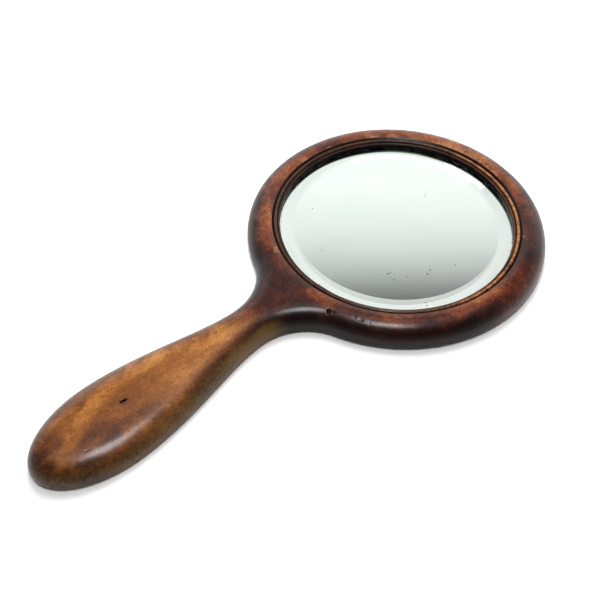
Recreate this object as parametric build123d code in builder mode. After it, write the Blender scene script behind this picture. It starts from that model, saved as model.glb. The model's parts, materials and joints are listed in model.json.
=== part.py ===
"""Round wooden hand mirror: one-piece frame and handle, bevelled glass, split retaining ring.

Millimetres. The origin is on the flat back, under the middle of the glass. The handle runs
along -Y and the glass faces +Z, so the mirror lies on its back on the plane Z = 0.
"""
from build123d import *
import os
from math import atan2, cos, degrees, radians, sin, sqrt

os.makedirs("parts", exist_ok=True)

# ---- frame and handle outline ----
head_radius = 79.2            # outside of the round frame
neck_half_width = 11.3        # narrowest point of the handle, beside the head
neck_fillet = 31.5            # hollow curve from the head into the neck
handle_half_width = 22.7      # widest point of the grip
grip_y = 179.0                # distance of the widest point from the middle of the glass
handle_end = 218.0            # distance of the tip from the middle of the glass
neck_run = 21.0               # how far the flank stays parallel at the neck
grip_run = 30.5               # and at the widest point
board_thickness = 12.0
top_rounding = 9.2            # rolled-over upper edge
bottom_rounding = 2.6         # eased lower edge

# ---- stepped recess in the face of the frame ----
ring_seat_radius = 65.8       # upper step, round the retaining ring
glass_seat_radius = 64.0      # lower step, round the glass
ring_seat_z = 6.6             # height of the ledge between the steps
recess_floor_z = 3.6          # wood left behind the glass
recess_edge_break = 0.5

# ---- glass and what lies behind it, from the bottom up ----
card_radius = 63.2
card_thickness = 1.2
paint_radius = 63.3
paint_thickness = 0.1
silver_radius = 63.4
silver_thickness = 0.1
glass_radius = 63.5           # a 5 inch disc
glass_thickness = 3.0
glass_edge_thickness = 1.8
bevel_width = 9.0

# ---- split retaining ring: a bead with a high outer reed and a low inner reed ----
ring_inner_radius = 61.5
ring_outer_radius = 65.1
ring_groove_radius = 62.7     # between the two reeds
ring_bottom_z = 7.2
outer_reed_z = 11.4           # top of the outer reed
outer_reed_side_z = 10.2      # where its round starts on the outer wall
inner_reed_z = 10.2
inner_reed_side_z = 9.5
groove_z = 9.8
ring_gap = 0.35               # the open joint between the ring's ends
ring_joint_angle = -84.5      # beside the handle
ring_shift = 0.45             # the ring sits off centre, against one side of its seat
ring_shift_angle = -50

# ---- brads that pin the ring to the wall of its seat ----
brad_count = 6
brad_radius = 0.45
brad_length = 8.0
brad_z = 8.4
brad_first_angle = -64.5

neck_y = sqrt((head_radius + neck_fillet) ** 2 - (neck_half_width + neck_fillet) ** 2)
neck_centre = (neck_half_width + neck_fillet, -neck_y)
tangent_angle = degrees(atan2(-neck_y, neck_half_width + neck_fillet))

paint_z = recess_floor_z + card_thickness
silver_z = paint_z + paint_thickness
glass_z = silver_z + silver_thickness
ring_centre = (ring_shift * cos(radians(ring_shift_angle)), ring_shift * sin(radians(ring_shift_angle)))


def brad_planes():
    """One plane per brad, lying on the ring's inner wall and facing outwards."""
    planes = []
    for i in range(brad_count):
        a = radians(brad_first_angle + i * 360 / brad_count)
        start = (ring_centre[0] + ring_inner_radius * cos(a), ring_centre[1] + ring_inner_radius * sin(a), brad_z)
        planes.append(Plane(origin=start, z_dir=(cos(a), sin(a), 0)))
    return planes


# ---- brads: one node of separate pins, driven level through the ring into the frame ----
with BuildPart() as ring_brads:
    for plane in brad_planes():
        with BuildSketch(plane):
            Circle(brad_radius)
    extrude(amount=brad_length)
ring_brads.part.label = "ring_brads"
export_step(ring_brads.part, "parts/ring_brads.step")

# ---- body: frame and handle sawn from one board, rounded over, with the recess turned in ----
with BuildPart() as body:
    with BuildSketch() as outline:
        with BuildLine():
            CenterArc((0, 0), head_radius, tangent_angle, 90 - tangent_angle)
            CenterArc(neck_centre, neck_fillet, 180 + tangent_angle, -tangent_angle)
            Bezier(
                (neck_half_width, -neck_y),
                (neck_half_width, -neck_y - neck_run),
                (handle_half_width, -grip_y + grip_run),
                (handle_half_width, -grip_y),
            )
            EllipticalCenterArc((0, -grip_y), handle_half_width, handle_end - grip_y, start_angle=270, arc_size=90)
            mirror(about=Plane.YZ)
        make_face()
    extrude(amount=board_thickness)
    fillet(body.faces().sort_by(Axis.Z)[-1].edges(), top_rounding)
    fillet(body.faces().sort_by(Axis.Z)[0].edges(), bottom_rounding)
    with BuildSketch(Plane.XY.offset(recess_floor_z)):
        Circle(glass_seat_radius)
    extrude(amount=board_thickness, mode=Mode.SUBTRACT)
    with BuildSketch(Plane.XY.offset(ring_seat_z)):
        Circle(ring_seat_radius)
    extrude(amount=board_thickness, mode=Mode.SUBTRACT)
    seat_rim = body.edges().filter_by(GeomType.CIRCLE).filter_by_position(
        Axis.Z, board_thickness - 0.01, board_thickness + 0.01
    )
    chamfer(seat_rim, recess_edge_break)
    add(ring_brads.part, mode=Mode.SUBTRACT)
body.part.label = "body"
export_step(body.part, "parts/body.step")

# ---- glass: a plate whose face slopes down in a broad polished bevel ----
with BuildPart() as mirror_glass:
    with BuildSketch(Plane.XZ) as glass_section:
        with BuildLine():
            Polyline(
                (0, glass_z),
                (glass_radius, glass_z),
                (glass_radius, glass_z + glass_edge_thickness),
                (glass_radius - bevel_width, glass_z + glass_thickness),
                (0, glass_z + glass_thickness),
                close=True,
            )
        make_face()
    revolve(axis=Axis.Z)
mirror_glass.part.label = "mirror_glass"
export_step(mirror_glass.part, "parts/mirror_glass.step")


def export_disc(name, radius, bottom, thickness):
    """Write one flat round layer of the stack behind the glass."""
    with BuildPart() as disc:
        with BuildSketch(Plane.XY.offset(bottom)):
            Circle(radius)
        extrude(amount=thickness)
    disc.part.label = name
    export_step(disc.part, f"parts/{name}.step")


# ---- silvering, the paint over it, and the card that cushions the glass ----
export_disc("silvering", silver_radius, silver_z, silver_thickness)
export_disc("backing_paint", paint_radius, paint_z, paint_thickness)
export_disc("backing_card", card_radius, recess_floor_z, card_thickness)

# ---- retaining ring: a thin two-reed bead bent round, its ends left just apart ----
gap_angle = degrees(ring_gap / ring_inner_radius)
with BuildPart() as retaining_ring:
    with BuildSketch(Plane.XZ) as bead_section:
        with BuildLine():
            Polyline(
                (ring_inner_radius, inner_reed_side_z),
                (ring_inner_radius, ring_bottom_z),
                (ring_outer_radius, ring_bottom_z),
                (ring_outer_radius, outer_reed_side_z),
            )
            ThreePointArc(
                (ring_outer_radius, outer_reed_side_z),
                ((ring_outer_radius + ring_groove_radius) / 2, outer_reed_z),
                (ring_groove_radius, groove_z),
            )
            ThreePointArc(
                (ring_groove_radius, groove_z),
                ((ring_groove_radius + ring_inner_radius) / 2, inner_reed_z),
                (ring_inner_radius, inner_reed_side_z),
            )
        make_face()
    revolve(axis=Axis.Z, revolution_arc=360 - gap_angle)
placed_ring = Pos(ring_centre[0], ring_centre[1], 0) * Rot(0, 0, ring_joint_angle + gap_angle / 2) * retaining_ring.part
pinned_ring = placed_ring - ring_brads.part
pinned_ring.label = "retaining_ring"
export_step(pinned_ring, "parts/retaining_ring.step")
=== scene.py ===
# %% [markdown]
# # A round wooden hand mirror
# The mirror is one board sawn to a disc with a handle, rounded over and varnished. A bevelled
# glass lies in a recess turned in its face, and a thin split bead, bent to a ring, holds it in.
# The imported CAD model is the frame: every size below is measured from it, in metres, and each
# piece made here stands exactly where its CAD node stands.

# %% Load the frame
import json
from math import atan2, cos, pi, radians, sin, sqrt
import bmesh
import bpy
import numpy as np
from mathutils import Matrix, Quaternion, Vector

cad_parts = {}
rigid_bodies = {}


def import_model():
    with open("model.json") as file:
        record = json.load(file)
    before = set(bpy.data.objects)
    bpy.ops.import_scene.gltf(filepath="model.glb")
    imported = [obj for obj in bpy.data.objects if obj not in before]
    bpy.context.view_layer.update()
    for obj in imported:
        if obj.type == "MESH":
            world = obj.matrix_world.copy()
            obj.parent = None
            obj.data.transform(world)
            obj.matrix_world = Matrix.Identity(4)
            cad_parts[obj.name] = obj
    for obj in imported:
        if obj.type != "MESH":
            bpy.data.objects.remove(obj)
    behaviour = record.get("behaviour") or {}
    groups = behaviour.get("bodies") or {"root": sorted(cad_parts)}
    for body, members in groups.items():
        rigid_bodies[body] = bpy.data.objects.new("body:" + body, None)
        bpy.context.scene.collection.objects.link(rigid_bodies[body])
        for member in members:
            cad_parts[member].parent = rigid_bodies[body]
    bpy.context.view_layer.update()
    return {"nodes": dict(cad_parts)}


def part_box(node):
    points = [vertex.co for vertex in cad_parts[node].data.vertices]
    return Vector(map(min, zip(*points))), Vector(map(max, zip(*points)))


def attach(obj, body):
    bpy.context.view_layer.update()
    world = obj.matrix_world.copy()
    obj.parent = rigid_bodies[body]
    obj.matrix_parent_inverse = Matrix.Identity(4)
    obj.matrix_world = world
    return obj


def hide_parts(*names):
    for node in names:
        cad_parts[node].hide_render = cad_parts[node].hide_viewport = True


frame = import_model()
MM = 0.001
print("CAD nodes:", ", ".join(sorted(frame["nodes"])))

# %% Measure the nodes
body_low, body_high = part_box("body")
glass_low, glass_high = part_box("mirror_glass")
silver_low, silver_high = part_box("silvering")
ring_low, ring_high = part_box("retaining_ring")
brads_low, brads_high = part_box("ring_brads")
head_radius = body_high.x
handle_tip = -body_low.y
board_top = body_high.z
glass_radius = glass_high.x
ring_centre = (ring_low + ring_high) / 2
print(f"head radius {head_radius / MM:.1f} mm, tip {handle_tip / MM:.1f} mm, top {board_top / MM:.1f} mm")


# %% [markdown]
# ## Small tools
# A mesh is made from plain lists of points and faces, and a finished piece is handed to the
# frame with one call. Materials are written as sums: `Value` wraps one socket of a node tree,
# and + - * / on it add Math nodes, so that a mask reads as the arithmetic it is.

# %% Make a mesh object
def close_seams(mesh):
    """Merge doubles, turn the faces outwards and shade them smooth."""
    tidy = bmesh.new()
    tidy.from_mesh(mesh)
    bmesh.ops.remove_doubles(tidy, verts=tidy.verts, dist=1e-6)
    bmesh.ops.recalc_face_normals(tidy, faces=tidy.faces)
    for face in tidy.faces:
        face.smooth = True
    tidy.to_mesh(mesh)
    tidy.free()


def sharpen(obj, limit):
    """Keep edges that turn by more than this many degrees crisp."""
    obj.data.set_sharp_from_angle(angle=radians(limit))


def placed(name, data):
    """A new object that holds this data, linked into the scene."""
    obj = bpy.data.objects.new(name, data)
    bpy.context.scene.collection.objects.link(obj)
    return obj


def mesh_object(name, points, faces):
    """A new object with these points and faces, seams merged and faces turned outwards."""
    mesh = bpy.data.meshes.new(name)
    mesh.from_pydata([tuple(p) for p in points], [], [tuple(f) for f in faces])
    close_seams(mesh)
    return placed(name, mesh)


def finish_piece(obj, material, slot, *nodes):
    """Give a piece its material, let it ride on the frame and stand for its CAD nodes."""
    obj.data.materials.clear()
    obj.data.materials.append(material)
    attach(obj, "root")
    if nodes:
        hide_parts(*nodes)
    print(f"{obj.name}: {len(obj.data.polygons)} faces, stands for {', '.join(nodes) or 'nothing'}")


# %% Write shader maths as sums
class Value:
    """One socket of a node tree. Arithmetic on it adds Math nodes to the tree."""

    def __init__(self, tree, socket):
        self.tree = tree
        self.socket = socket

    def maths(self, operation, first, second=0.0):
        return self.tree.add("ShaderNodeMath", {"operation": operation}, {0: first, 1: second})

    def __add__(self, other):
        return self.maths("ADD", self, other)

    def __radd__(self, other):
        return self.maths("ADD", other, self)

    def __sub__(self, other):
        return self.maths("SUBTRACT", self, other)

    def __rsub__(self, other):
        return self.maths("SUBTRACT", other, self)

    def __mul__(self, other):
        return self.maths("MULTIPLY", self, other)

    def __rmul__(self, other):
        return self.maths("MULTIPLY", other, self)

    def __truediv__(self, other):
        return self.maths("DIVIDE", self, other)

    def __pow__(self, other):
        return self.maths("POWER", self, other)

    def larger(self, other):
        return self.maths("MAXIMUM", self, other)

    def rise(self, low, high):
        """0 below low, 1 above high, and a smooth step between; low may be above high."""
        step = {"interpolation_type": "SMOOTHSTEP"}
        return self.tree.add("ShaderNodeMapRange", step, {"Value": self, "From Min": low, "From Max": high})


# %% Build a material's node tree
def linear(red, green, blue):
    """A colour given as screen values from 0 to 255, in the linear units that shaders use."""
    parts = [c / 255 for c in (red, green, blue)]
    parts = [c / 12.92 if c <= 0.04045 else ((c + 0.055) / 1.055) ** 2.4 for c in parts]
    return (*parts, 1.0)


class Tree:
    """A node tree with one method that adds any node."""

    def __init__(self, node_tree):
        self.nodes = node_tree.nodes
        self.links = node_tree.links
        self.nodes.clear()

    def add(self, kind, settings=None, inputs=None, output=0):
        """Add a node: settings first, then the values or links of its sockets."""
        node = self.nodes.new(kind)
        for key, value in (settings or {}).items():
            if key == "stops":
                self.set_stops(node.color_ramp, value)
            else:
                setattr(node, key, value)
        for key, value in (inputs or {}).items():
            if isinstance(value, Value):
                self.links.new(value.socket, node.inputs[key])
            else:
                node.inputs[key].default_value = value
        return Value(self, node.outputs[output]) if len(node.outputs) else None

    def set_stops(self, ramp, stops):
        """Give a colour ramp its stops, as (place, colour) pairs."""
        while len(ramp.elements) < len(stops):
            ramp.elements.new(0.5)
        for element, (place, colour) in zip(ramp.elements, stops):
            element.position = place
            element.color = colour

    def ramp(self, factor, *stops):
        return self.add("ShaderNodeValToRGB", {"stops": stops}, {"Fac": factor})

    def noise(self, vector, scale, detail=3.0, roughness=0.5, distortion=0.0):
        """Smooth noise from 0 to 1; scale is in features per unit of the vector."""
        sockets = {"Vector": vector, "Scale": scale, "Detail": detail}
        sockets |= {"Roughness": roughness, "Distortion": distortion}
        return self.add("ShaderNodeTexNoise", {"normalize": True}, sockets)

    def mix(self, factor, first, second):
        """Blend two colours by a factor."""
        colours = {0: factor, 6: first, 7: second}
        return self.add("ShaderNodeMix", {"data_type": "RGBA"}, colours, output=2)

    def vector(self, x, y, z):
        return self.add("ShaderNodeCombineXYZ", None, {0: x, 1: y, 2: z})

    def place(self):
        """The surface point in millimetres, as a vector and as x, y and z."""
        coordinates = self.add("ShaderNodeTexCoord", None, None, output=3)
        scaled = self.add("ShaderNodeVectorMath", {"operation": "SCALE"}, {0: coordinates, 3: 1 / MM})
        parts = [self.add("ShaderNodeSeparateXYZ", None, {0: scaled}, output=i) for i in range(3)]
        return (scaled, *parts)

    def bump(self, height, strength, distance):
        sockets = {"Height": height, "Strength": strength, "Distance": distance}
        return self.add("ShaderNodeBump", None, sockets)

    def surface(self, **sockets):
        """End the tree in a Principled shader; socket names have _ for a space."""
        inputs = {name.replace("_", " "): value for name, value in sockets.items()}
        shader = self.add("ShaderNodeBsdfPrincipled", None, inputs)
        self.add("ShaderNodeOutputMaterial", None, {"Surface": shader})


def new_material(name):
    material = bpy.data.materials.new(name)
    material.use_nodes = True
    return material, Tree(material.node_tree)


# %% [markdown]
# ## The camera
# The mirror lies on its back and is looked at from above the side of its handle, from about
# 0.4 m. The camera stands over a point beside the glass, measured from the middle of the glass,
# and is turned by plain angles.

# %% Place the camera
view_turn = 49.0
view_drop = 50.62
view_roll = -0.86
camera_place = Vector((2.2957 * head_radius, -2.8575 * head_radius, 3.6712 * head_radius))

camera = placed("camera", bpy.data.cameras.new("camera"))
camera.data.sensor_width = 36.0
camera.data.lens = 45.0
camera.data.clip_start = 0.01
camera.location = camera_place
look = Vector((-sin(radians(view_turn)), cos(radians(view_turn)), 0)) * cos(radians(view_drop))
look.z = -sin(radians(view_drop))
camera.rotation_mode = "QUATERNION"
camera.rotation_quaternion = look.to_track_quat("-Z", "Y") @ Quaternion((0, 0, 1), radians(view_roll))
bpy.context.scene.camera = camera
print("camera stands", round(camera.location.length, 3), "m from the middle of the glass")


# %% [markdown]
# ## Floor and light
# The mirror lies on a plain white table. One soft lamp hangs nearly overhead and gives the
# varnish its long highlights; a larger one hangs behind and throws the short shadow towards the
# camera. A white screen stands behind the mirror and is what the glass shows. Its light fades
# towards the top, so the near part of the glass, which looks over the screen, is grey. The room
# itself is dim, with a pale band along its horizon.

# %% Lay the floor
floor_half = 6.0
floor_z = -0.02 * MM
floor_corners = ((-1, -1), (1, -1), (1, 1), (-1, 1))
floor_points = [(x * floor_half, y * floor_half, floor_z) for x, y in floor_corners]
floor = mesh_object("floor", floor_points, [(0, 1, 2, 3)])
floor_material, t = new_material("white_table")
speckle = t.noise(t.place()[0], 0.02)
table_white = t.ramp(speckle, (0.3, (0.93, 0.93, 0.93, 1)), (0.7, (0.96, 0.96, 0.96, 1)))
t.surface(Base_Color=table_white, Roughness=0.8)
floor.data.materials.append(floor_material)

# %% Stand the white screen behind
screen_gap = 252.0 * MM
screen_half_width = 0.6
screen_height = 0.42
away = Vector((look.x, look.y, 0)).normalized()
across = Vector((away.y, -away.x, 0))
screen_feet = [away * screen_gap + across * side * screen_half_width for side in (-1, 1)]
screen_points = [*screen_feet, *(p + Vector((0, 0, screen_height)) for p in reversed(screen_feet))]
screen = mesh_object("white_screen", screen_points, [(0, 1, 2, 3)])
screen_material, t = new_material("screen_light")
height = t.place()[3] / (screen_height / MM)
# how bright the screen is, as (height in millimetres, brightness) pairs
fade = [
    (205, 1.1), (236, 1.02), (267, 0.92), (298, 0.77),
    (329, 0.56), (360, 0.32), (381, 0.2), (415, 0.12),
]
stops = [(place * MM / screen_height, (level, level, level, 1)) for place, level in fade]
glow = t.add("ShaderNodeEmission", None, {"Color": t.ramp(height, *stops)})
t.add("ShaderNodeOutputMaterial", None, {"Surface": glow})
screen.data.materials.append(screen_material)
screen.visible_camera = False
screen.visible_shadow = False

# %% Light the room and hang the lamps
world = bpy.data.worlds.new("room")
bpy.context.scene.world = world
world.use_nodes = True
t = Tree(world.node_tree)
direction = t.add("ShaderNodeTexCoord", None, None, output=0)
toward_x, toward_y, up = [
    t.add("ShaderNodeSeparateXYZ", None, {0: direction}, output=i) for i in range(3)
]
ahead = toward_x * away.x + toward_y * away.y
to_right = toward_x * across.x + toward_y * across.y
ceiling = up.rise(0.8, 0.9) * (0.3 + ahead.rise(-0.1, 0.3) * 0.7)
right_wall = to_right.rise(0.2, 0.9) * 0.2
horizon = up.rise(0.45, 0.3) * 0.4
glow = (0.06 + ceiling + right_wall) * (1.0 - ahead.rise(-0.1, -0.6) * 0.75) + horizon
background = t.add("ShaderNodeBackground", None, {"Color": (1.0, 1.0, 1.0, 1.0), "Strength": glow})
t.add("ShaderNodeOutputWorld", None, {"Surface": background})


def hang_lamp(name, place, aim, width, depth, power):
    """A rectangular soft lamp at a place, facing the point it is aimed at."""
    lamp = placed(name, bpy.data.lights.new(name, "AREA"))
    lamp.data.shape = "RECTANGLE"
    lamp.data.size = width
    lamp.data.size_y = depth
    lamp.data.energy = power
    lamp.location = place
    lamp.rotation_mode = "QUATERNION"
    lamp.rotation_quaternion = (aim - place).to_track_quat("-Z", "Y")
    print(f"{name}: {power} W, {place.length:.2f} m from the middle of the glass")
    return lamp


# both lamps face the middle of the whole mirror, near the neck
lamp_aim = Vector((0, -0.07, 0))
highlight_place = Vector((0.12, -0.16, 0.85))
back_place = Vector((-0.4, 0.3, 0.76))
hang_lamp("highlight_lamp", highlight_place, lamp_aim, width=0.28, depth=0.24, power=3.5)
back_lamp = hang_lamp("back_lamp", back_place, lamp_aim, width=0.45, depth=0.45, power=8.0)
back_lamp.visible_glossy = False
bpy.context.scene.view_settings.view_transform = "Standard"


# %% [markdown]
# ## The wooden body
# A maker saws the outline, rounds both edges over with a spokeshave, and turns the recess. The
# CAD body has that shape with a flat top; the real top is gently crowned, falls away a little to
# the recess, and has dents. So this piece is a fine mesh that follows the same outline. Its rows
# run from the outline inwards, to the recess on the head and to a spine line along the handle,
# and the height of every point comes from its distance to the outline.

# %% The outline, as arcs and one curve
neck_half_width = 11.3 * MM
neck_fillet = 31.5 * MM
grip_half_width = 22.7 * MM
grip_y = 179.0 * MM
neck_run = 21.0 * MM
grip_run = 30.5 * MM
neck_centre_x = neck_half_width + neck_fillet
neck_y = sqrt((head_radius + neck_fillet) ** 2 - neck_centre_x**2)
shoulder_angle = atan2(neck_y, neck_centre_x)


def arc(centre, radius_x, radius_y, start, end, step):
    """Points along an elliptical arc, about step apart, without its last point."""
    count = max(3, int(abs(end - start) * max(radius_x, radius_y) / step))
    angles = np.linspace(start, end, count, endpoint=False)
    return np.c_[centre[0] + radius_x * np.cos(angles), centre[1] + radius_y * np.sin(angles)]


def bezier(a, b, c, d, step):
    """Points along a Bezier curve, about step apart, without its last point."""
    count = int(np.hypot(d[0] - a[0], d[1] - a[1]) / step)
    s = np.linspace(0, 1, count, endpoint=False)[:, None]
    a, b, c, d = (np.array(p) for p in (a, b, c, d))
    return (1 - s) ** 3 * a + 3 * (1 - s) ** 2 * s * b + 3 * (1 - s) * s**2 * c + s**3 * d


def half_outline(step):
    """The right half of the outline, from the far end of the head to the tip of the handle."""
    stretches = [
        arc((0, 0), head_radius, head_radius, pi / 2, -shoulder_angle, step),
        arc((neck_centre_x, -neck_y), neck_fillet, neck_fillet, pi - shoulder_angle, pi, step),
        bezier(
            (neck_half_width, -neck_y),
            (neck_half_width, -neck_y - neck_run),
            (grip_half_width, -grip_y + grip_run),
            (grip_half_width, -grip_y),
            step,
        ),
        arc((0, -grip_y), grip_half_width, handle_tip - grip_y, 0, -pi / 2, step),
        np.array([[0, -handle_tip]]),
    ]
    ends = np.cumsum([len(s) for s in stretches[:-1]])
    return np.concatenate(stretches), ends


outline, outline_ends = half_outline(1.3 * MM)
print(len(outline), "points on half the outline")

# %% Distance from a point to the outline
fine_half, _ = half_outline(0.5 * MM)


def outline_distance(points):
    """Distance of each XY point from the outline, measured to its short straight pieces."""
    start = fine_half[:-1]
    run_x, run_y = (fine_half[1:] - start).T
    run_squared = run_x**2 + run_y**2
    result = np.empty(len(points))
    for first in range(0, len(points), 500):
        part = points[first:first + 500]
        x = np.abs(part[:, :1]) - start[:, 0]
        y = part[:, 1:] - start[:, 1]
        along = np.clip((x * run_x + y * run_y) / run_squared, 0, 1)
        gap_squared = (x - along * run_x) ** 2 + (y - along * run_y) ** 2
        result[first:first + 500] = np.sqrt(gap_squared.min(axis=1))
    return result


# %% Height of the top and of the underside
ring_seat_radius = 65.8 * MM
ring_seat_z = 6.6 * MM
glass_seat_radius = 64.0 * MM
recess_floor_z = 3.6 * MM
widest_z = 2.6 * MM
head_round = 10.3 * MM
grip_round = 12.8 * MM
edge_power = 1.95
face_fall = 0.7 * MM
face_fall_width = 4.0 * MM
grip_crown = 0.9 * MM


def smooth_step(low, high, value):
    s = np.clip((value - low) / (high - low), 0, 1)
    return s * s * (3 - 2 * s)


def top_round(points):
    """How far in from the outline the rounded edge reaches: further on the grip."""
    return head_round + (grip_round - head_round) * smooth_step(-115 * MM, -165 * MM, points[:, 1])


def top_height(points, distance):
    """Height of the upper surface: a long rounded edge, a slight crown and a fall to the recess."""
    inward = 1 - np.clip(distance / top_round(points), 0, 1)
    height = widest_z + (board_top - widest_z) * (1 - inward**edge_power) ** (1 / edge_power)
    from_recess = np.hypot(points[:, 0], points[:, 1]) - ring_seat_radius
    height -= face_fall * np.clip(1 - from_recess / face_fall_width, 0, 1) ** 2
    on_grip = smooth_step(-105 * MM, -150 * MM, points[:, 1])
    domed = (height - widest_z) / (board_top - widest_z)
    height -= grip_crown * on_grip * domed * (points[:, 0] / grip_half_width) ** 2
    return height


def under_height(distance):
    inward = 1 - np.clip(distance / widest_z, 0, 1)
    return widest_z * (1 - np.sqrt(1 - inward**2))


# %% Partner every outline point with a point on the recess or the spine
circle_run = pi * ring_seat_radius
spine_start = ring_seat_radius
spine_end = handle_tip - 13.0 * MM


def partner(run):
    """Point at this run along the recess circle and then down the spine of the handle."""
    if run <= circle_run:
        angle = pi / 2 - run / ring_seat_radius
        return (ring_seat_radius * cos(angle), ring_seat_radius * sin(angle))
    return (0.0, -spine_start - (run - circle_run))


shoulder, narrowest, widest_point = outline_ends[0], outline_ends[1], outline_ends[2]
hollow = (shoulder + narrowest) // 2
knots = [0, shoulder, hollow, narrowest, widest_point, len(outline) - 1]
runs = [
    0,
    ring_seat_radius * (pi / 2 + shoulder_angle),
    circle_run,
    circle_run + neck_y - 9 * MM - spine_start,
    circle_run + grip_y - spine_start,
    circle_run + spine_end - spine_start,
]
partner_runs = np.interp(np.arange(len(outline)), knots, runs)
partners = np.array([partner(run) for run in partner_runs])

# %% Weave the top and bottom surfaces
edge_rows = 14
inner_rows = 12
reach = np.hypot(*(partners - outline).T)
round_reach = np.minimum(top_round(outline), 0.9 * reach)
edge_steps = 1 - np.cos(np.linspace(0, pi / 2, edge_rows + 1))
inner_steps = np.linspace(0, 1, inner_rows + 1)[1:]
top_rows = [round_reach * s for s in edge_steps]
top_rows += [round_reach + (reach - round_reach) * s for s in inner_steps]
under_rows = [widest_z * (1 - cos(pi / 2 * k / 6)) for k in range(1, 7)]
under_rows = [np.full(len(outline), r) for r in under_rows]
under_rows += [widest_z + (reach - widest_z) * s for s in (0.33, 0.66, 1.0)]


def weave(rows, height_of, side):
    """Points of one half surface, row by row, on the right (side 1) or left (side -1)."""
    grid = []
    for row in rows:
        flat = outline + (partners - outline) * (row / reach)[:, None]
        flat[:, 0] = np.maximum(flat[:, 0], 0)
        height = height_of(flat, outline_distance(flat))
        grid.append(np.c_[flat[:, 0] * side, flat[:, 1], height])
    return np.array(grid)


def grid_faces(rows, columns, first):
    """Four-cornered faces of a grid of points numbered from first."""
    faces = []
    for i in range(rows - 1):
        for j in range(columns - 1):
            a = first + i * columns + j
            faces.append((a, a + 1, a + columns + 1, a + columns))
    return faces


body_points = []
body_faces = []
for side in (1, -1):
    for rows, height_of in ((top_rows, top_height), (under_rows, lambda p, d: under_height(d))):
        grid = weave(rows, height_of, side)
        if rows is under_rows:
            grid = np.concatenate([weave(top_rows[:1], top_height, side), grid])
        body_faces += grid_faces(grid.shape[0], grid.shape[1], len(body_points))
        body_points += list(grid.reshape(-1, 3))
print(len(body_points), "points before the recess")

# %% Turn the recess
circle_points = partners[partner_runs <= circle_run + 1e-9]
circle_loop = np.concatenate([circle_points, circle_points[-2:0:-1] * (-1, 1)])
rim_height = top_height(circle_points[:1], np.array([head_radius - ring_seat_radius]))[0]
recess_section = [
    (ring_seat_radius, rim_height),
    (ring_seat_radius - 0.12 * MM, rim_height - 0.25 * MM),
    (ring_seat_radius, rim_height - 0.5 * MM),
    (ring_seat_radius, ring_seat_z),
    (glass_seat_radius, ring_seat_z),
    (glass_seat_radius, recess_floor_z),
    (0.1 * MM, recess_floor_z),
]
recess_points = []
for r, height in recess_section:
    recess_points += [(x, y, height) for x, y in circle_loop * (r / ring_seat_radius)]
recess_first = len(body_points)
columns = len(circle_loop)
for level in range(len(recess_section) - 1):
    for j in range(columns):
        a = recess_first + level * columns + j
        b = recess_first + level * columns + (j + 1) % columns
        body_faces.append((a, b, b + columns, a + columns))
body_points += recess_points


def close_disc(loop, centre_height):
    """Add a fan from a loop of XY points at one height to the middle of the head."""
    first = len(body_points)
    body_points.extend((x, y, centre_height) for x, y in loop)
    body_points.append((0, 0, centre_height))
    for j in range(len(loop)):
        body_faces.append((first + j, first + (j + 1) % len(loop), first + len(loop)))


close_disc(circle_loop * (recess_section[-1][0] / ring_seat_radius), recess_floor_z)
close_disc(circle_loop, 0.0)
body = mesh_object("wooden_body", body_points, body_faces)
print("wooden body:", len(body.data.polygons), "faces")


# %% [markdown]
# ## Knocks in the wood
# Years of use leave dents: a slot-like cut in the grip, a three-cornered chip on the near
# shoulder, shallow bruises beside it. Each is a short line on the object: its middle, length,
# width, direction and depth. The mesh is divided more finely round each one, so the dent is real.

# %% Dent the surface
# middle x, middle y, length, width, direction in degrees, depth; all lengths in millimetres
knocks = [
    (-0.1, -170.7, 3.3, 1.2, 82, 1.3),
    (22.9, -70.2, 2.2, 1.8, -35, 0.9),
    (24.4, -69.2, 1.6, 1.0, 30, 0.6),
    (37.0, -62.5, 2.6, 1.4, 20, 0.16),
    (40.3, -60.6, 1.8, 1.0, -10, 0.14),
    (34.0, -63.9, 1.4, 0.9, 40, 0.12),
    (2.4, -77.6, 1.5, 1.2, 0, 0.2),
    (-6.0, -206.5, 1.4, 0.9, 10, 0.3),
    (10.0, -195.0, 2.0, 0.8, 75, 0.15),
]


def knock_depth(points, knock):
    """How deep one knock is at each XY point: a soft-sided slot."""
    x, y, length, width, direction, depth = knock
    turned = radians(direction)
    into_slot = np.array([[cos(turned), -sin(turned)], [sin(turned), cos(turned)]])
    local = (points - (x * MM, y * MM)) @ into_slot
    along = local[:, 0] / (length * MM / 2)
    across = local[:, 1] / (width * MM / 2)
    return depth * MM * np.exp(-(along**4) - across**4)


sides_end_z = 6 * MM
shaped = bmesh.new()
shaped.from_mesh(body.data)
for knock in knocks:
    for passes in range(2):
        reach_mm = knock[2] * (0.9 if passes else 1.3) + 0.6
        middle = Vector((knock[0], knock[1])) * MM
        high = (v for v in shaped.verts if v.co.z > sides_end_z)
        close = {v for v in high if (v.co.xy - middle).length < reach_mm * MM}
        near = {edge for v in close for edge in v.link_edges if edge.other_vert(v) in close}
        near = sorted(near, key=lambda edge: edge.index)
        bmesh.ops.subdivide_edges(shaped, edges=near, cuts=2, use_grid_fill=True)
shaped.to_mesh(body.data)
shaped.free()

corners = np.array([v.co for v in body.data.vertices])
from_edge = outline_distance(corners[:, :2])
outside_recess = np.hypot(corners[:, 0], corners[:, 1]) > ring_seat_radius - 0.01 * MM
on_top = (corners[:, 2] > sides_end_z) & outside_recess
corners[on_top, 2] = top_height(corners[on_top, :2], from_edge[on_top])
for knock in knocks:
    corners[on_top, 2] -= knock_depth(corners[on_top, :2], knock)
body.data.vertices.foreach_set("co", corners.ravel())
edge_attribute = body.data.attributes.new("edge_mm", "FLOAT", "POINT")
edge_attribute.data.foreach_set("value", from_edge / MM)
body.data.update()
print(len(knocks), "knocks,", len(body.data.vertices), "points in the body")


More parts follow.
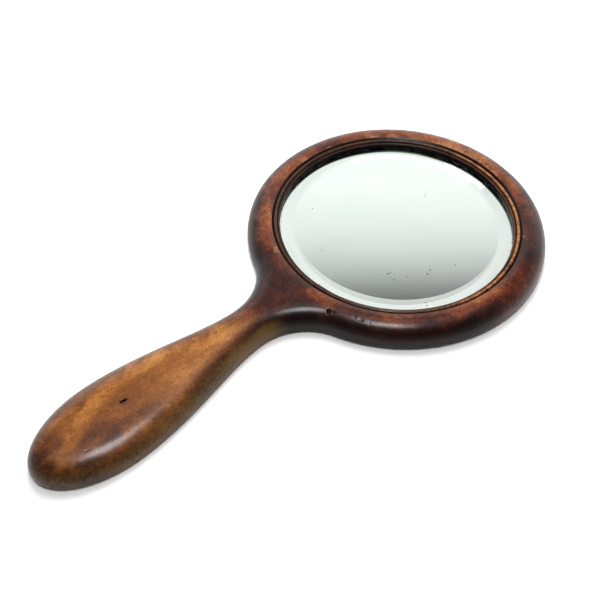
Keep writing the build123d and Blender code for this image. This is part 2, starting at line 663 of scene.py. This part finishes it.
# %% [markdown]
# ## Varnished wood
# The board is a close-grained wood under red-brown stain and varnish. The grip has been rubbed
# lighter and shows streaks along the grain; the neck is the darkest place, the right side of the
# rim is nearly black, and the edge of the recess is worn to bare tan wood. So the colour is a
# light wood and a dark stain, mixed by where a point is, and the masks are sums of noise. Light
# and shade are painted in too: the rim is darker on the near side and lighter on the far side,
# the edges are darkened partly as painted shade, and the recess is painted near-black as shade.

# %% Lay out the noises
wood, t = new_material("varnished_wood")
point, x, y, z = t.place()
edge = t.add("ShaderNodeAttribute", {"attribute_name": "edge_mm"}, None, output=2)
radius = (x * x + y * y) ** 0.5

drift = t.noise(point, 0.018, 3.0) - 0.5
grain_x = x + drift * 30.0 - y * 0.12
streak = t.noise(t.vector(grain_x * 0.09, y * 0.02, z * 0.09), 1.0, 3.0, 0.6)
fine = t.noise(t.vector(grain_x * 0.9, y * 0.12, z * 0.9), 1.0, 3.0, 0.6)
grit = t.noise(point, 0.9, 3.0, 0.65)
cloud = t.noise(point, 0.045, 3.0, 0.55, 0.4)
mottle = t.noise(point, 0.16, 4.0, 0.62)
ragged_x = x + (mottle - 0.5) * 10.0
ragged_y = y + (t.noise(point, 0.13, 3.0, 0.6) - 0.5) * 14.0

# %% Put the light and dark places where they belong
# middle x, middle y, half width, half length, all in millimetres, and how much lighter it is
patches = [
    (-15.0, -184.0, 5.0, 11.0, -0.07),
    (8.0, -190.0, 6.0, 12.0, -0.08),
    (0.0, -205.0, 8.0, 6.0, -0.06),
    (3.0, -215.0, 9.0, 5.0, -0.11),
    (13.5, -127.0, 4.5, 15.0, -0.1),
    (11.0, -168.0, 3.5, 16.0, -0.07),
    (-8.0, -133.0, 4.0, 8.0, -0.05),
    (-14.0, -160.0, 3.5, 8.0, -0.05),
    (4.0, -147.0, 8.0, 14.0, 0.05),
    (1.0, -118.0, 4.0, 16.0, 0.06),
    (-44.5, -51.0, 9.0, 9.0, 0.07),
    (-62.0, -28.0, 6.0, 16.0, 0.06),
    (-24.0, -75.0, 7.0, 7.0, -0.09),
    (-1.0, -78.0, 12.0, 10.0, -0.11),
    (15.0, -84.0, 6.0, 9.0, -0.12),
    (13.5, -66.5, 7.0, 3.0, 0.06),
    (46.0, -51.0, 8.0, 7.0, 0.05),
    (66.0, -12.0, 4.0, 12.0, 0.08),
    (74.0, -18.0, 4.0, 16.0, -0.12),
]
patch = None
for middle_x, middle_y, half_width, half_length, lift in patches:
    off_x = (ragged_x - middle_x) / half_width
    off_y = (ragged_y - middle_y) / half_length
    here = (off_x * off_x + off_y * off_y).rise(2.6, 0.0) * lift
    patch = here if patch is None else patch + here
print(len(patches), "patches on the wood")

# a golden streak that wanders down the grip, as (y, x) pairs
streak_path = [
    (-218, 7), (-202, 5), (-189, -3), (-178, -9), (-164, -11),
    (-148, -11), (-133, -5), (-120, 0), (-104, 0),
]
first_y, last_y = streak_path[0][0], streak_path[-1][0]
streak_half_range = 25.0
stops = []
for path_y, path_x in streak_path:
    level = (path_x + streak_half_range) / (2 * streak_half_range)
    stops.append(((path_y - first_y) / (last_y - first_y), (level, level, level, 1)))
along_streak = (y - first_y) / (last_y - first_y)
streak_x = t.ramp(along_streak, *stops) * (2 * streak_half_range) - streak_half_range
streak_gap = x - streak_x + (mottle - 0.5) * 9.0
golden = (streak_gap * streak_gap).rise(34.0, 0.0) * 0.075

# how light the rim is all round, every 15 degrees from the left side anticlockwise; partly the
# stain's own unevenness, partly painted shade on the near side and painted light on the far side
rim_stain_and_light_levels = [
    55, 68, 64, 56, 60, 46, 34, 30, 22, 26, 24, 42, 44,
    24, 28, 40, 45, 70, 92, 88, 80, 74, 48, 45, 55,
]
turn = t.add("ShaderNodeMath", {"operation": "ARCTAN2"}, {0: y, 1: x}) / (2 * pi) + 0.5
last_level = len(rim_stain_and_light_levels) - 1
stops = [(i / last_level, (level / 100,) * 3 + (1,)) for i, level in enumerate(rim_stain_and_light_levels)]
# painted light and shade: the rim's lightness by angle becomes a lift or drop of its tone
rim_stain_and_painted_light = (t.ramp(turn, *stops) - 0.5) * 0.24

# %% Mix the wood colour
grip_tone = streak * 0.3 + cloud * 0.2 + mottle * 0.18 + fine * 0.1 + grit * 0.22 + patch + golden
grip_wood = t.ramp(
    grip_tone,
    (0.31, linear(50, 24, 14)),
    (0.43, linear(96, 54, 27)),
    (0.54, linear(134, 80, 34)),
    (0.68, linear(184, 124, 60)),
)
rim_tone = cloud * 0.34 + mottle * 0.28 + fine * 0.08 + grit * 0.3 + patch + rim_stain_and_painted_light
rim_wood = t.ramp(
    rim_tone,
    (0.34, linear(28, 10, 8)),
    (0.45, linear(62, 22, 11)),
    (0.56, linear(104, 47, 18)),
    (0.71, linear(152, 88, 40)),
)
on_grip = (y + mottle * 20.0).rise(-84.0, -112.0)
surface_colour = t.mix(on_grip, rim_wood, grip_wood)

# %% Darken the edges: partly the stain, which lies thickest there, partly painted shade
right_edge = (x / radius.larger(1.0)).rise(0.5, 0.95) * (y + 10.0).rise(-20.0, 20.0)
edge_stain_and_shade = (edge + mottle * 6.0 - 3.0).rise(8.5, 3.5)
edge_stain_and_shade = edge_stain_and_shade * (0.9 - right_edge * 0.7) * (1.0 - on_grip * 0.45)
# painted shade and stain: the edges and side walls are mixed towards near-black here
surface_colour = t.mix(edge_stain_and_shade, surface_colour, linear(17, 7, 8))
# the sides of the grip are olive brown, lightest beside the neck
side_tone = streak * 0.6 + grit * 0.4 + y.rise(-128.0, -108.0) * 0.14
side_wood = t.ramp(side_tone, (0.38, linear(34, 20, 13)), (0.62, linear(100, 72, 34)))
on_side = (edge + mottle * 3.0).rise(6.5, 3.0) * y.rise(-86.0, -98.0)
surface_colour = t.mix(on_side * 0.85, surface_colour, side_wood)

# %% Rub the recess edge and the high spots bare
rub_noise = t.noise(point, 0.09, 4.0, 0.62)
rub_edge = radius.rise(71.5, 66.0) * (1.0 - on_grip) * radius.rise(64.0, 65.6)
# the bare patches grow where the rim levels above are lighter, so they partly follow the painted light on
# the far side
rub = rub_edge * (rub_noise + rim_stain_and_painted_light * 1.4).rise(0.53, 0.68) * 0.6
bare_wood = t.ramp(grit, (0.35, linear(124, 78, 46)), (0.65, linear(186, 134, 92)))
surface_colour = t.mix(rub, surface_colour, bare_wood)
pores = t.noise(point, 1.6, 2.0, 0.5).rise(0.36, 0.28) * 0.4
surface_colour = t.mix(pores, surface_colour, linear(26, 12, 8))

# %% Blacken the knocks, paint shade into the recess and finish the varnish
# the two deepest knocks are made near-black inside, rougher and with less varnish
deep_knock_black = None
for mark_x, mark_y, length, width, direction, _ in knocks[:2]:
    turned = radians(direction)
    along = ((x - mark_x) * cos(turned) + (y - mark_y) * sin(turned)) / (length / 2)
    across = ((y - mark_y) * cos(turned) - (x - mark_x) * sin(turned)) / (width / 2)
    spot = (along * along + across * across).rise(1.5, 0.7)
    deep_knock_black = spot if deep_knock_black is None else deep_knock_black.larger(spot)
surface_colour = t.mix(deep_knock_black, surface_colour, linear(8, 6, 6))
# painted shade: the walls and seats of the recess, round the ring and under the glass, are near-black
recess_painted_shade = radius.rise(66.1, 65.85)
surface_colour = t.mix(recess_painted_shade, surface_colour, linear(14, 9, 8))

roughness = 0.42 + mottle * 0.1 + rub * 0.1 + deep_knock_black * 0.3
relief = fine * 0.4 + grit * 0.5 + mottle * 0.8 - pores * 0.6
t.surface(
    Base_Color=surface_colour,
    Roughness=roughness,
    Normal=t.bump(relief, 0.25, 0.25 * MM),
    Specular_IOR_Level=0.05,
    Coat_Weight=(0.72 - rub * 0.3 - deep_knock_black * 0.5) * (1.0 - edge_stain_and_shade * 0.45),
    Coat_Roughness=0.24,
)
finish_piece(body, wood, "varnished_wood", "body")


# %% [markdown]
# ## The glass
# The plate is ground to a broad bevel all round. Seen from above, the bevel is a prism: it bends
# the picture, so the mirror shows a bright band there. That only works with a real thickness and
# a real silver layer behind, so the glass is a clear solid, turned from its section.

# %% Turn a round piece
def turned_piece(name, section, segments=256):
    """A closed solid of revolution about Z. The section runs from the axis out and back to it."""
    points = []
    faces = []
    for r, height in section:
        for j in range(segments):
            angle = 2 * pi * j / segments
            points.append((r * cos(angle), r * sin(angle), height))
    for level in range(len(section) - 1):
        for j in range(segments):
            a = level * segments + j
            b = level * segments + (j + 1) % segments
            faces.append((a, b, b + segments, a + segments))
    return mesh_object(name, points, faces)


bevel_width = 9.0 * MM
edge_thickness = 1.8 * MM
arris = 0.15 * MM
glass_section = [
    (0, glass_low.z),
    (glass_radius - arris, glass_low.z),
    (glass_radius, glass_low.z + arris),
    (glass_radius, glass_low.z + edge_thickness - arris),
    (glass_radius - arris, glass_low.z + edge_thickness),
    (glass_radius - bevel_width, glass_high.z),
    (0, glass_high.z),
]
plate = turned_piece("bevelled_glass", glass_section)
sharpen(plate, 3)

# %% Make the glass
glass, t = new_material("plate_glass")
smudge = t.noise(t.place()[0], 0.05, 3.0, 0.6, 0.5)
t.surface(
    Base_Color=t.ramp(smudge, (0.3, (0.955, 0.985, 0.965, 1)), (0.7, (0.975, 0.992, 0.98, 1))),
    Roughness=smudge.rise(0.62, 0.85) * 0.02,
    IOR=1.52,
    Transmission_Weight=1.0,
)
finish_piece(plate, glass, "plate_glass", "mirror_glass")

# %% Silver its back
film_gap = 0.01 * MM
silver_top = silver_high.z - film_gap
silver_section = [
    (0, silver_low.z),
    (silver_high.x, silver_low.z),
    (silver_high.x, silver_top),
    (0, silver_top),
]
silver = turned_piece("silver_film", silver_section)
sharpen(silver, 30)
silvering, t = new_material("silver_layer")
point, x, y, _ = t.place()
haze = t.noise(point, 0.03, 3.0, 0.6)
foxing = t.noise(point, 0.25, 4.0, 0.65)
radius = (x * x + y * y) ** 0.5
rim_decay = radius.rise(60.5, 63.0) * foxing.rise(0.4, 0.6)
tarnish = t.ramp(haze, (0.35, (0.9, 0.95, 0.915, 1)), (0.65, (0.93, 0.955, 0.925, 1)))
t.surface(
    Base_Color=t.mix(rim_decay, tarnish, linear(70, 62, 50)),
    Metallic=1.0 - rim_decay * 0.6,
    Roughness=0.004 + rim_decay * 0.3,
)
finish_piece(silver, silvering, "silver_layer", "silvering")


# %% [markdown]
# ## The retaining ring
# The ring is a thin moulding, sprung into its seat: a high reed outside, a low reed inside, and
# an open joint beside the handle where one end stands a little inward. A thing with one section
# along one path is what Geometry Nodes do well: an arc, moved a little off its circle, and the
# section swept along it.

# %% Helpers for geometry trees
def new_geometry(name, **kinds):
    """A geometry tree with named inputs, each given as the kind of its socket."""
    group = bpy.data.node_groups.new(name, "GeometryNodeTree")
    for title, kind in kinds.items():
        group.interface.new_socket(title, in_out="INPUT", socket_type="NodeSocket" + kind)
    group.interface.new_socket("Geometry", in_out="OUTPUT", socket_type="NodeSocketGeometry")
    tree = Tree(group)
    source = group.nodes.new("NodeGroupInput")
    return group, tree, {title: Value(tree, source.outputs[title]) for title in kinds}


def end_geometry(tree, geometry, material):
    """Realise the instances, set the material and end the tree."""
    real = tree.add("GeometryNodeRealizeInstances", None, {0: geometry})
    painted = tree.add("GeometryNodeSetMaterial", None, {"Geometry": real, "Material": material})
    tree.add("NodeGroupOutput", None, {"Geometry": painted})


def made_by(group, name, **inputs):
    """Run a geometry tree once and keep its result as a plain mesh object."""
    carrier = placed(name + "_carrier", bpy.data.meshes.new(name + "_carrier"))
    modifier = carrier.modifiers.new("nodes", "NODES")
    modifier.node_group = group
    for item in group.interface.items_tree:
        if item.in_out == "INPUT":
            modifier[item.identifier] = inputs[item.name]
    evaluated = carrier.evaluated_get(bpy.context.evaluated_depsgraph_get())
    mesh = bpy.data.meshes.new_from_object(evaluated)
    mesh.name = name
    carrier.modifiers.remove(modifier)
    bpy.data.objects.remove(carrier)
    print(f"{name}: {len(mesh.polygons)} faces from the tree {group.name}")
    return placed(name, mesh)


# %% Draw the ring's section
ring_bottom = ring_low.z
section_mm = [
    (61.55, 7.2),
    (64.75, 7.2),
    (64.95, 8.6),
    (64.9, 10.1),
    (64.78, 10.65),
    (64.45, 11.1),
    (64.0, 11.35),
    (63.55, 11.3),
    (63.2, 11.0),
    (63.0, 10.55),
    (62.92, 10.05),
    (62.75, 9.8),
    (62.62, 10.0),
    (62.4, 10.17),
    (62.1, 10.18),
    (61.8, 10.02),
    (61.6, 9.65),
    (61.52, 9.2),
]
section_middle = 63.3
section = bpy.data.curves.new("ring_section", "CURVE")
section.dimensions = "2D"
spline = section.splines.new("POLY")
spline.points.add(len(section_mm) - 1)
for spot, (r, height) in zip(spline.points, section_mm):
    spot.co = ((r - section_middle) * MM, ring_bottom - height * MM, 0, 1)
spline.use_cyclic_u = True
section_object = placed("ring_section", section)
print(len(section_mm), "corners in the ring's section")

# %% Sweep the ring
bead_stain_and_shade, bead_tree = new_material("stained_bead")
ring_tree, t, given = new_geometry(
    "split_ring",
    Radius="Float",
    Joint_Angle="Float",
    Gap="Float",
    End_Step="Float",
    Wobble="Float",
    Middle="Vector",
    Section="Object",
    Material="Material",
)
sweep_angle = 2 * pi - given["Gap"] / given["Radius"]
start_angle = given["Joint_Angle"] + given["Gap"] / given["Radius"] * 0.5
arc_sockets = {"Resolution": 512, "Radius": given["Radius"]}
arc_sockets |= {"Start Angle": start_angle, "Sweep Angle": sweep_angle}
path = t.add("GeometryNodeCurveArc", {"mode": "RADIUS"}, arc_sockets)
position = t.add("GeometryNodeInputPosition")
along = t.add("GeometryNodeSplineParameter")
waver = t.noise(position, 28.0, 2.0) - 0.5
inward = waver * given["Wobble"] + along.rise(0.03, 0.0) * given["End_Step"]
shrink = 1.0 - inward / given["Radius"]
moved = t.add("ShaderNodeVectorMath", {"operation": "SCALE"}, {0: position, 3: shrink})
moved = t.add("ShaderNodeVectorMath", {"operation": "ADD"}, {0: moved, 1: given["Middle"]})
path = t.add("GeometryNodeSetPosition", None, {"Geometry": path, "Position": moved})
path = t.add("GeometryNodeSetCurveNormal", {"mode": "Z_UP"}, {"Curve": path})
profile = t.add("GeometryNodeObjectInfo", None, {"Object": given["Section"]}, output="Geometry")
sweep_sockets = {"Curve": path, "Profile Curve": profile, "Fill Caps": True}
swept = t.add("GeometryNodeCurveToMesh", None, sweep_sockets)
end_geometry(t, swept, given["Material"])
ring = made_by(
    ring_tree,
    "split_bead",
    Radius=section_middle * MM,
    Joint_Angle=radians(-84.5),
    Gap=0.35 * MM,
    End_Step=0.25 * MM,
    Wobble=0.1 * MM,
    Middle=(ring_centre.x, ring_centre.y, ring_bottom),
    Section=section_object,
    Material=bead_stain_and_shade,
)
bpy.data.objects.remove(section_object)
close_seams(ring.data)
sharpen(ring, 50)
low = [min(v.co[i] for v in ring.data.vertices) / MM for i in range(3)]
high = [max(v.co[i] for v in ring.data.vertices) / MM for i in range(3)]
print("ring spans", [round(v, 2) for v in low], "to", [round(v, 2) for v in high], "mm")

# %% Stain the ring and paint shade into its groove and inner wall
t = bead_tree
point, x, y, z = t.place()
from_x = x - ring_centre.x / MM
from_y = y - ring_centre.y / MM
radius = (from_x * from_x + from_y * from_y) ** 0.5
wear = t.noise(point, 0.07, 3.0, 0.6)
nibble = t.noise(point, 0.5, 3.0, 0.65)
toward_right = from_x / radius
bright_side = (toward_right * 0.75 + from_y / radius * 0.66).rise(0.0, 0.9)
crest = z.rise(10.6, 11.25)
low_crest = z.rise(9.95, 10.15) * radius.rise(62.7, 62.5)
worn_through = (wear * 0.6 + nibble * 0.9).rise(0.5, 0.95)
rubbed = crest.larger(low_crest * 0.2) * (0.3 + bright_side * 0.7) * worn_through
dark_wood = t.ramp(wear, (0.3, linear(30, 15, 9)), (0.7, linear(62, 34, 20)))
rubbed_wood = t.mix(bright_side, linear(112, 74, 50), linear(186, 120, 70))
surface_colour = t.mix(rubbed, dark_wood, rubbed_wood)
# painted shade: the inner wall and the low flanks down in the seat are near-black, the groove between the
# reeds dark
inner_wall_shade = radius.rise(61.75, 61.6).larger(z.rise(9.6, 8.8))
surface_colour = t.mix(inner_wall_shade, surface_colour, linear(9, 9, 11))
groove_shade = z.rise(10.25, 9.85) * radius.rise(62.2, 62.6)
surface_colour = t.mix(groove_shade * 0.85, surface_colour, linear(16, 9, 8))
t.surface(
    Base_Color=surface_colour,
    Roughness=0.45 + nibble * 0.15,
    Normal=t.bump(nibble, 0.3, 0.2 * MM),
    Specular_IOR_Level=0.1,
    Coat_Weight=0.5 - groove_shade * 0.4,
    Coat_Roughness=0.22,
)
finish_piece(ring, bead_stain_and_shade, "stained_bead", "retaining_ring")


# %% [markdown]
# ## Brads and specks
# Six small brads hold the ring: short wire pins, driven level through it into the frame. The
# silver has a few black specks where it has failed. Both are one small shape repeated on given
# points, so one tree does for both: it puts a shape on each point, turned and sized by rule.

# %% A tree that repeats a shape
repeat_tree, t, given = new_geometry(
    "repeat_on_points",
    Points="Object",
    Shape="Object",
    Smallest="Float",
    Seed="Int",
    Material="Material",
)
spots = t.add("GeometryNodeObjectInfo", None, {"Object": given["Points"]}, output="Geometry")
shape = t.add("GeometryNodeObjectInfo", None, {"Object": given["Shape"]}, output="Geometry")
turn = t.add("GeometryNodeInputNamedAttribute", {"data_type": "FLOAT"}, {"Name": "turn"})
turned = t.add("ShaderNodeCombineXYZ", None, {2: turn})
size_range = {2: given["Smallest"], 3: 1.0, "Seed": given["Seed"]}
size = t.add("FunctionNodeRandomValue", {"data_type": "FLOAT"}, size_range, output=1)
copy_sockets = {"Points": spots, "Instance": shape, "Rotation": turned, "Scale": size}
copies = t.add("GeometryNodeInstanceOnPoints", None, copy_sockets)
end_geometry(t, copies, given["Material"])


def points_object(name, spots, turns):
    """An object of loose points, each with the turn about Z of what will stand on it."""
    mesh = bpy.data.meshes.new(name)
    mesh.from_pydata(spots, [], [])
    mesh.attributes.new("turn", "FLOAT", "POINT").data.foreach_set("value", turns)
    return placed(name, mesh)


# %% Drive the brads
first_brad_turn = -64.5
brad_count = 6
brad_turns = [radians(first_brad_turn + 360 / brad_count * i) for i in range(brad_count)]
# the pin's outline, as (distance along it, radius) pairs in millimetres
pin_stations = [
    (0.0, 0.0), (0.0, 0.3), (0.04, 0.42), (0.14, 0.45), (7.85, 0.45), (8.0, 0.1), (8.0, 0.0),
]
pin_points = []
pin_faces = []
sides = 16
for run, r in pin_stations:
    for k in range(sides):
        angle = 2 * pi * k / sides
        pin_points.append((run * MM, r * MM * cos(angle), r * MM * sin(angle)))
for level in range(len(pin_stations) - 1):
    for k in range(sides):
        a = level * sides + k
        b = level * sides + (k + 1) % sides
        pin_faces.append((a, b, b + sides, a + sides))
pin = mesh_object("pin", pin_points, pin_faces)
brad_height = (brads_low.z + brads_high.z) / 2
start = 61.5 * MM
brad_starts = []
for a in brad_turns:
    brad_starts.append((ring_centre.x + start * cos(a), ring_centre.y + start * sin(a), brad_height))
steel, t = new_material("brad_steel")
rust = t.noise(t.place()[0], 0.8, 3.0, 0.6)
t.surface(
    Base_Color=t.ramp(rust, (0.35, linear(40, 32, 28)), (0.65, linear(96, 86, 76))),
    Metallic=rust.rise(0.35, 0.6),
    Roughness=0.35 + rust * 0.3,
)
brad_points = points_object("brad_points", brad_starts, brad_turns)
brads = made_by(
    repeat_tree, "wire_brads", Points=brad_points, Shape=pin, Smallest=1.0, Seed=1, Material=steel
)
bpy.data.objects.remove(brad_points)
bpy.data.objects.remove(pin)
close_seams(brads.data)
sharpen(brads, 40)
finish_piece(brads, steel, "brad_steel", "ring_brads")

# %% Scatter the black specks
# where the specks are, as (x, y) pairs in millimetres
speck_spots = [
    (-37.9, -25.3), (-11.8, -42.5), (22.6, -28.8), (23.0, -27.4), (27.3, -29.4),
    (30.4, -23.2), (-5.4, 30.2), (-3.7, 27.9), (36.2, -14.3), (35.1, -11.2),
    (41.4, 0.8), (47.8, -28.6), (49.3, -29.4),
]
speck_height = silver_high.z - film_gap / 2
speck_corners = 9
speck_angles = np.linspace(0, 2 * pi, speck_corners, endpoint=False)
speck_rim = [(0.5 * MM * cos(a), 0.4 * MM * sin(a), 0) for a in speck_angles]
speck = mesh_object("speck", speck_rim, [tuple(range(speck_corners))])
black, t = new_material("failed_silver")
speck_tone = t.noise(t.place()[0], 2.0)
t.surface(
    Base_Color=t.ramp(speck_tone, (0.3, linear(20, 24, 22)), (0.7, linear(52, 58, 54))),
    Roughness=0.6,
)
speck_points = points_object(
    "speck_points",
    [(px * MM, py * MM, speck_height) for px, py in speck_spots],
    [0.7 * i for i in range(len(speck_spots))],
)
specks = made_by(
    repeat_tree,
    "silver_specks",
    Points=speck_points,
    Shape=speck,
    Smallest=0.7,
    Seed=4,
    Material=black,
)
bpy.data.objects.remove(speck_points)
bpy.data.objects.remove(speck)
finish_piece(specks, black, "silver_layer")


# %% [markdown]
# ## What lies behind the glass
# A coat of paint guards the silver, and a disc of card packs the glass up to the ring. Their CAD
# shapes are right, so they stay and only get a finish: brick-red paint, and grey card with fibres.

# %% Paint and card
paint, t = new_material("protective_paint")
_, x, y, z = t.place()
brush = t.noise(t.vector(x * 0.3, y * 2.0, z), 1.0, 3.0, 0.6)
t.surface(
    Base_Color=t.ramp(brush, (0.3, linear(92, 38, 28)), (0.7, linear(124, 56, 40))),
    Roughness=0.5 + brush * 0.2,
    Normal=t.bump(brush, 0.3, 0.05 * MM),
)
card, t = new_material("packing_card")
point, x, y, z = t.place()
pulp = t.noise(point, 0.7, 4.0, 0.7)
fibre = t.noise(t.vector(x * 0.4, y * 3.0, z), 1.0, 2.0, 0.5)
t.surface(
    Base_Color=t.ramp(pulp * 0.6 + fibre * 0.4, (0.35, linear(120, 108, 90)), (0.65, linear(156, 144, 122))),
    Roughness=0.85,
    Normal=t.bump(pulp + fibre, 0.4, 0.08 * MM),
)
for name, material in (("backing_paint", paint), ("backing_card", card)):
    for node_slot in bpy.data.objects[name].material_slots:
        node_slot.material = material
    print(name, "is finished with", material.name)
